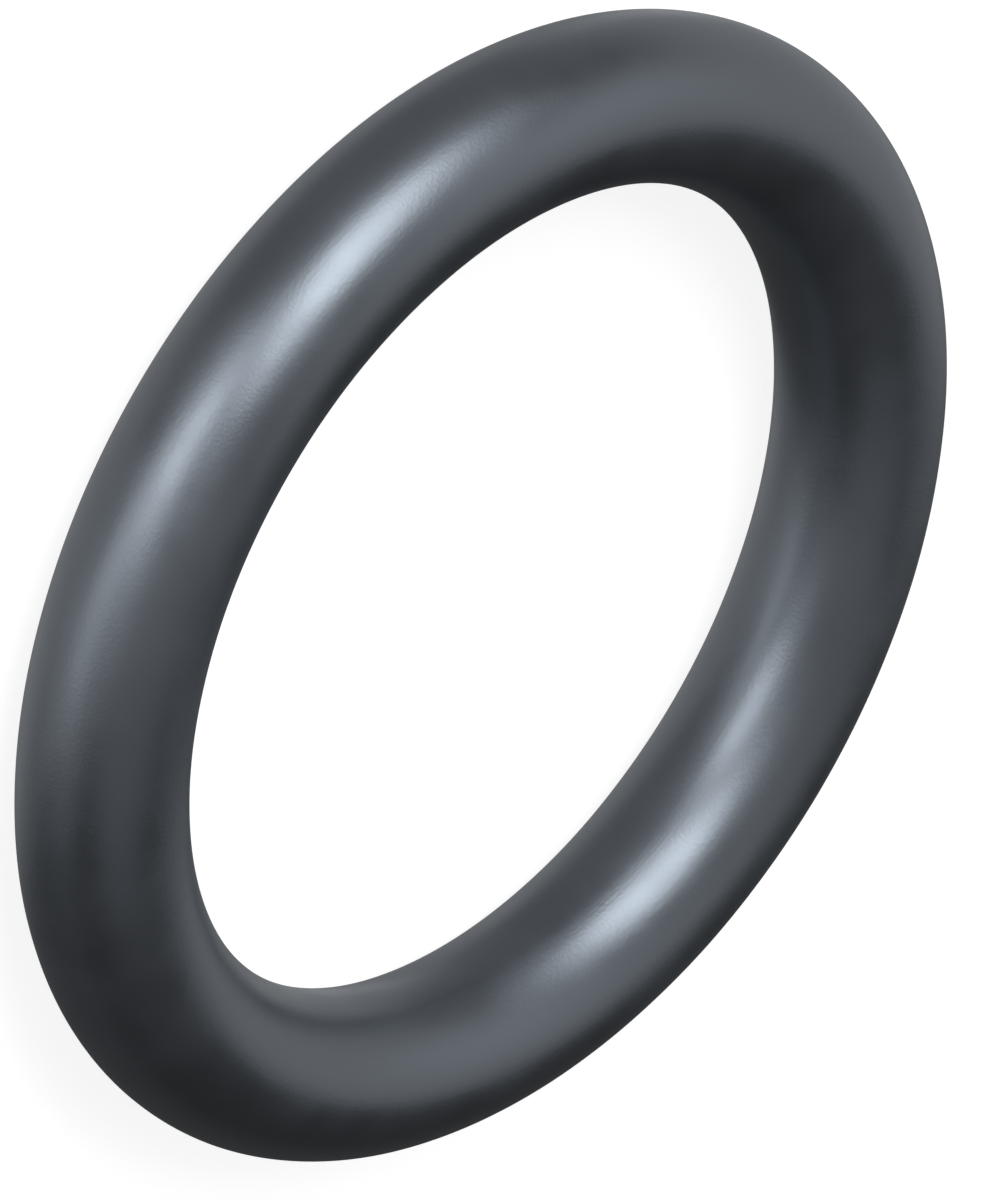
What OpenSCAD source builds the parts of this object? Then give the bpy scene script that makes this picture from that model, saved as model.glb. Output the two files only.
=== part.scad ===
// Rubber o-ring: one moulded ring of round section, lying flat.
// Millimetres, +Z up. The origin is the centre of the ring, half way up its section.

/* [Ring] */
// Diameter of the hole, across the inside of the free ring
inside_diameter = 12.3; // [2:0.1:60]
// Thickness of the rubber, the diameter of its round section
section_diameter = 2.4; // [1:0.1:8]

/* [Rubber] */
// Colour of the rubber
rubber_colour = "#2B2E32"; // [#2B2E32:Black, #5B3A2A:Brown, #A43A2C:Red, #2F5D3A:Green]

/* [Hidden] */

// The centre of the section runs on a circle of this radius
centreline_radius = (inside_diameter + section_diameter) / 2;

// Steps round the ring and round its section where the surface is drawn as flats
ring_steps = 180;
section_steps = 60;

// The round section, standing beside the axis at its distance from it
module section() {
    translate([centreline_radius, 0])
        circle(d = section_diameter, $fn = section_steps);
}

// The section carried once round the axis, with no start, end or seam
module o_ring() {
    color(rubber_colour)
        rotate_extrude($fn = ring_steps)
            section();
}

o_ring();
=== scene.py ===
# Rubber o-ring lying flat: one moulded ring, satin black, under soft studio lamps
from math import asin, cos, pi, radians, sin, sqrt, tan

import bpy
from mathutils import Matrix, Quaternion, Vector, noise


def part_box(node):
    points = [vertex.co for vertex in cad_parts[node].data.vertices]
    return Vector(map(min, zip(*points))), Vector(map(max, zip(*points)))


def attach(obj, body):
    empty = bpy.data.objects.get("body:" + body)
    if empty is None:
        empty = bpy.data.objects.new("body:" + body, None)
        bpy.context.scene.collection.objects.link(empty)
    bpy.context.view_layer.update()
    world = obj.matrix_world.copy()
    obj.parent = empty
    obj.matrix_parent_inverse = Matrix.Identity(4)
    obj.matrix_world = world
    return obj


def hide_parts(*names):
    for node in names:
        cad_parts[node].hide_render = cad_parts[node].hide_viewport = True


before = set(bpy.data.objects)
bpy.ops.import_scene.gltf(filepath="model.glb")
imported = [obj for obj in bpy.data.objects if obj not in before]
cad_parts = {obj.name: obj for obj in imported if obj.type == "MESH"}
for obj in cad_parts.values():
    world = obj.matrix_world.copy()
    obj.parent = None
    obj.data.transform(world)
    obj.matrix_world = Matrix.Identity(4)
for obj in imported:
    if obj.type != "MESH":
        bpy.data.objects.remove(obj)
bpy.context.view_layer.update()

mm = 0.001  # metres in a millimetre
micron = 0.001 * mm
scene = bpy.context.scene

# Ring sizes, read from the CAD solid
ringLow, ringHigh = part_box("o_ring")
outerRadius = (ringHigh[0] - ringLow[0]) / 2
sectionRadius = (ringHigh[2] - ringLow[2]) / 2
centrelineRadius = outerRadius - sectionRadius
print(f"sizes: {2 * outerRadius / mm:.2f} mm across, section {2 * sectionRadius / mm:.2f} mm")


# A unit vector from the ring towards a place in the studio, angles in degrees
# Azimuth 0 is the camera's side and turns towards +X
def towards(azimuth, elevation):
    turn, lift = radians(azimuth), radians(elevation)
    return Vector((sin(turn) * cos(lift), -cos(turn) * cos(lift), sin(lift)))


# A rotation that faces a direction, then turns about it by an angle in degrees
def facing(direction, turn):
    return direction.to_track_quat("Z", "Y") @ Quaternion((0, 0, 1), radians(turn))


# A node with its settings, and its inputs given as values or as sockets to join
def addNode(tree, kind, label, inputs=None, **settings):
    node = tree.nodes.new(kind)
    node.label = label
    for key, value in settings.items():
        setattr(node, key, value)
    for socket, value in (inputs or {}).items():
        if isinstance(value, bpy.types.NodeSocket):
            tree.links.new(value, node.inputs[socket])
        else:
            node.inputs[socket].default_value = value
    return node


# Camera

cameraView = {
    "elevation": asin(1 / sqrt(3)),  # isometric
    "roll": 120,  # degrees, the picture shows the ring on edge, so the camera is turned on its side
    "lens": 1400,  # mm, long enough that near and far look alike
    "sensor": 36,  # mm, along the picture's height
    "picture": (992, 1200),  # pixels
    "ringCentre": (483.7, 586.9),  # where the ring's centre falls, in pixels
    "pixelsPerMm": 72.92,
    "clipRange": 10,  # what is up to this many times nearer or farther than the ring still shows
}


def makeCamera(view):
    width, height = view["picture"]
    toCamera = Vector((0, -cos(view["elevation"]), sin(view["elevation"])))
    look = facing(toCamera, view["roll"])
    distance = view["lens"] / view["sensor"] * height / view["pixelsPerMm"] * mm
    right, up = look @ Vector((1, 0, 0)), look @ Vector((0, 1, 0))
    aside = (width / 2 - view["ringCentre"][0]) / view["pixelsPerMm"] * mm
    below = (height / 2 - view["ringCentre"][1]) / view["pixelsPerMm"] * mm
    camera = bpy.data.objects.new("camera", bpy.data.cameras.new("camera"))
    camera.data.lens = view["lens"]
    camera.data.sensor_width = view["sensor"]
    camera.data.clip_start = distance / view["clipRange"]
    camera.data.clip_end = distance * view["clipRange"]
    camera.rotation_mode = "QUATERNION"
    camera.rotation_quaternion = look
    camera.location = toCamera * distance + right * aside - up * below
    scene.collection.objects.link(camera)
    scene.camera = camera
    return camera


camera = makeCamera(cameraView)
print(f"camera: {camera.location.length:.3f} m from the ring")


# Ring

ringForm = {
    "stepsRound": 480,  # corners round the ring
    "stepsSection": 128,  # corners round its section
    "swell": 6 * micron,  # depth of the slight hollows that a moulded surface has
    "swellLength": 1.6 * mm,  # and how far apart they are
}


def makeRing(name, form):
    stepsRound, stepsSection = form["stepsRound"], form["stepsSection"]
    corners = []
    for i in range(stepsRound):
        turn = 2 * pi * i / stepsRound
        outwards = Vector((cos(turn), sin(turn), 0))
        for j in range(stepsSection):
            lift = 2 * pi * j / stepsSection
            normal = outwards * cos(lift) + Vector((0, 0, sin(lift)))
            corner = outwards * centrelineRadius + normal * sectionRadius
            hollow = (1 - noise.noise(corner / form["swellLength"])) / 2
            corners.append(corner - normal * hollow * form["swell"])
    faces = []
    for i in range(stepsRound):
        here, there = i * stepsSection, (i + 1) % stepsRound * stepsSection
        for j in range(stepsSection):
            k = (j + 1) % stepsSection
            faces.append((here + j, there + j, there + k, here + k))
    mesh = bpy.data.meshes.new(name)
    mesh.from_pydata(corners, [], faces)
    mesh.shade_smooth()
    ring = bpy.data.objects.new(name, mesh)
    scene.collection.objects.link(ring)
    return ring


# Rubber

rubberLook = {
    "deep": (0.0106, 0.0110, 0.0123, 1),  # colour where the surface is cleanest
    "bloomed": (0.0147, 0.0152, 0.0169, 1),  # colour under a trace of wax bloom
    "tint": (0.772, 0.877, 1.0, 1),  # the blue-grey of its highlights
    "index": 1.88,  # refractive index, above plain rubber's, for clear highlights under soft lamps
    "gloss": 1.0,  # strength of the highlights, 0.5 is what the index alone would give
    "roughness": (0.35, 0.41),  # clean rubber, bloomed rubber
    "cloudsPerMm": 0.7,  # the patches of bloom
    "cloudsDetail": 4,
    "cloudsRoughness": 0.55,
    "bloomEdges": (0.35, 0.65),  # the clouds' values where the bloom starts and where it is full
    "grainPerMm": 20,
    "grainDetail": 2,
    "grainHeight": 2.2 * micron,
    "turningPerMm": 28,  # fine rings left by the tool that cut the mould
    "turningDetail": 1,
    "turningHeight": 0.6 * micron,
}


def makeRubber(look):
    material = bpy.data.materials.new("moulded black rubber")
    material.use_nodes = True
    tree = material.node_tree
    shader = tree.nodes["Principled BSDF"]
    shader.inputs["IOR"].default_value = look["index"]
    shader.inputs["Specular IOR Level"].default_value = look["gloss"]
    shader.inputs["Specular Tint"].default_value = look["tint"]

    place = addNode(tree, "ShaderNodeTexCoord", "place").outputs["Object"]
    inMm = addNode(tree, "ShaderNodeVectorMath", "place in millimetres",
                   {"Vector": place, "Scale": 1 / mm}, operation="SCALE").outputs["Vector"]

    # A thin uneven bloom of wax, which lifts the colour and dulls the surface a little
    clouds = addNode(tree, "ShaderNodeTexNoise", "bloom clouds",
                     {"Vector": inMm, "Scale": look["cloudsPerMm"], "Detail": look["cloudsDetail"],
                      "Roughness": look["cloudsRoughness"]})
    bloomStart, bloomFull = look["bloomEdges"]
    bloom = addNode(tree, "ShaderNodeMapRange", "bloom",
                    {"Value": clouds.outputs["Fac"], "From Min": bloomStart, "From Max": bloomFull})
    colour = addNode(tree, "ShaderNodeMix", "colour",
                     {"Factor": bloom.outputs["Result"], "A": look["deep"], "B": look["bloomed"]},
                     data_type="RGBA")
    cleanRoughness, bloomedRoughness = look["roughness"]
    roughness = addNode(tree, "ShaderNodeMapRange", "roughness",
                        {"Value": bloom.outputs["Result"], "To Min": cleanRoughness,
                         "To Max": bloomedRoughness})
    tree.links.new(colour.outputs["Result"], shader.inputs["Base Color"])
    tree.links.new(roughness.outputs["Result"], shader.inputs["Roughness"])

    # The mould's own surface: fine grain, and rings that run round with the section
    grain = addNode(tree, "ShaderNodeTexNoise", "grain",
                    {"Vector": inMm, "Scale": look["grainPerMm"], "Detail": look["grainDetail"]})
    parts = addNode(tree, "ShaderNodeSeparateXYZ", "parts", {"Vector": inMm})
    flat = addNode(tree, "ShaderNodeCombineXYZ", "across the axis",
                   {"X": parts.outputs["X"], "Y": parts.outputs["Y"]})
    radius = addNode(tree, "ShaderNodeVectorMath", "distance from the axis",
                     {"Vector": flat.outputs["Vector"]}, operation="LENGTH")
    profile = addNode(tree, "ShaderNodeCombineXYZ", "place on the section",
                      {"X": radius.outputs["Value"], "Y": parts.outputs["Z"]})
    turning = addNode(tree, "ShaderNodeTexNoise", "turning marks",
                      {"Vector": profile.outputs["Vector"], "Scale": look["turningPerMm"],
                       "Detail": look["turningDetail"]}, noise_dimensions="2D")
    grainBump = addNode(tree, "ShaderNodeBump", "grain relief",
                        {"Height": grain.outputs["Fac"], "Distance": look["grainHeight"]})
    turningBump = addNode(tree, "ShaderNodeBump", "turning relief",
                          {"Height": turning.outputs["Fac"], "Distance": look["turningHeight"],
                           "Normal": grainBump.outputs["Normal"]})
    tree.links.new(turningBump.outputs["Normal"], shader.inputs["Normal"])
    return material


ring = makeRing("moulded_ring", ringForm)
ring.data.materials.append(makeRubber(rubberLook))
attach(ring, "root")
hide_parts("o_ring")
print(f"ring: {len(ring.data.polygons)} faces")


# Floor and surround

floorLook = {
    "size": 8.0,  # metres
    "matt": (0.3, 0.3, 0.3, 1),  # what it gives back of the lamps' light, with the ring's shadow
    "glow": 0.85,  # and its own light, so that it shows white
    "inGloss": 0.045,  # share of the pale floor that the rubber's own sheen picks up
}
surroundLook = {
    "toCamera": (1, 1, 1, 1),
    "toRing": (0.005, 0.005, 0.005, 1),
}


# 1 for rays from the camera or through glass, a share for those that a glossy surface sends out
def addSeen(tree, glossShare):
    path = addNode(tree, "ShaderNodeLightPath", "kind of ray")
    inGloss = addNode(tree, "ShaderNodeMath", "seen in gloss",
                      {0: path.outputs["Is Glossy Ray"], 1: glossShare}, operation="MULTIPLY")
    through = addNode(tree, "ShaderNodeMath", "seen through glass too",
                      {0: path.outputs["Is Camera Ray"], 1: path.outputs["Is Transmission Ray"]},
                      operation="MAXIMUM")
    seen = addNode(tree, "ShaderNodeMath", "seen",
                   {0: through.outputs["Value"], 1: inGloss.outputs["Value"]}, operation="MAXIMUM")
    return seen.outputs["Value"]


# Lit from below too, as on a light table: the floor stops no ray between the ring and a lamp under it
def makeFloor(look):
    half = look["size"] / 2
    mesh = bpy.data.meshes.new("floor")
    corners = [(x * half, y * half, ringLow[2]) for x, y in ((-1, -1), (1, -1), (1, 1), (-1, 1))]
    mesh.from_pydata(corners, [], [(0, 1, 2, 3)])
    material = bpy.data.materials.new("pale floor")
    material.use_nodes = True
    tree = material.node_tree
    tree.nodes.remove(tree.nodes["Principled BSDF"])
    matt = addNode(tree, "ShaderNodeBsdfDiffuse", "matt floor", {"Color": look["matt"]})
    glow = addNode(tree, "ShaderNodeEmission", "glow", {"Strength": look["glow"]})
    pale = addNode(tree, "ShaderNodeAddShader", "pale",
                   {0: matt.outputs["BSDF"], 1: glow.outputs["Emission"]})
    clear = addNode(tree, "ShaderNodeBsdfTransparent", "clear to the lamps")
    both = addNode(tree, "ShaderNodeMixShader", "floor",
                   {0: addSeen(tree, look["inGloss"]), 1: clear.outputs["BSDF"], 2: pale.outputs["Shader"]})
    tree.links.new(both.outputs["Shader"], tree.nodes["Material Output"].inputs["Surface"])
    mesh.materials.append(material)
    floor = bpy.data.objects.new("floor", mesh)
    scene.collection.objects.link(floor)


def makeSurround(look, glossShare):
    world = bpy.data.worlds.new("surround")
    scene.world = world
    world.use_nodes = True
    tree = world.node_tree
    colour = addNode(tree, "ShaderNodeMix", "surround colour",
                     {"Factor": addSeen(tree, glossShare), "A": look["toRing"], "B": look["toCamera"]},
                     data_type="RGBA")
    tree.links.new(colour.outputs["Result"], tree.nodes["Background"].inputs["Color"])


makeFloor(floorLook)
makeSurround(surroundLook, floorLook["inGloss"])
print("floor and surround made")


# Lamps: how wide and high each looks from the ring, in degrees, and how bright its face is

lampDistance = 0.6  # metres
lamps = {
    "key": {"azimuth": -44, "elevation": 39, "turn": -21, "across": (32, 40), "brightness": 5.9},
    "front": {"azimuth": 4, "elevation": 16, "turn": -6, "across": (27, 26), "brightness": 3.65},
    "low": {"azimuth": 21, "elevation": -4, "turn": -32, "across": (105, 84), "brightness": 0.28},
    "strip": {"azimuth": 22, "elevation": -6, "turn": -14, "across": (60, 29), "brightness": 1.26},
    "fill": {"azimuth": -139, "elevation": 12, "turn": 3, "across": (63, 112), "brightness": 0.5},
    "top": {"azimuth": -26, "elevation": 63, "turn": 13, "across": (130, 115), "brightness": 0.28},
    "under": {"azimuth": -67, "elevation": -56, "turn": 1, "across": (80, 130), "brightness": 0.21},
    "underRight": {"azimuth": 103, "elevation": -80, "turn": 60, "across": (60, 116), "brightness": 0.29},
}


def makeLamp(name, lamp):
    direction = towards(lamp["azimuth"], lamp["elevation"])
    light = bpy.data.lights.new(name, "AREA")
    light.shape = "RECTANGLE"
    light.size, light.size_y = (2 * lampDistance * tan(radians(angle / 2)) for angle in lamp["across"])
    light.energy = pi * lamp["brightness"] * light.size * light.size_y
    lampObject = bpy.data.objects.new(name, light)
    lampObject.rotation_mode = "QUATERNION"
    lampObject.rotation_quaternion = facing(direction, lamp["turn"])
    lampObject.location = direction * lampDistance
    lampObject.visible_camera = False
    scene.collection.objects.link(lampObject)


for name, lamp in lamps.items():
    makeLamp(name, lamp)
print(f"lamps: {len(lamps)}")

scene.view_settings.view_transform = "Standard"
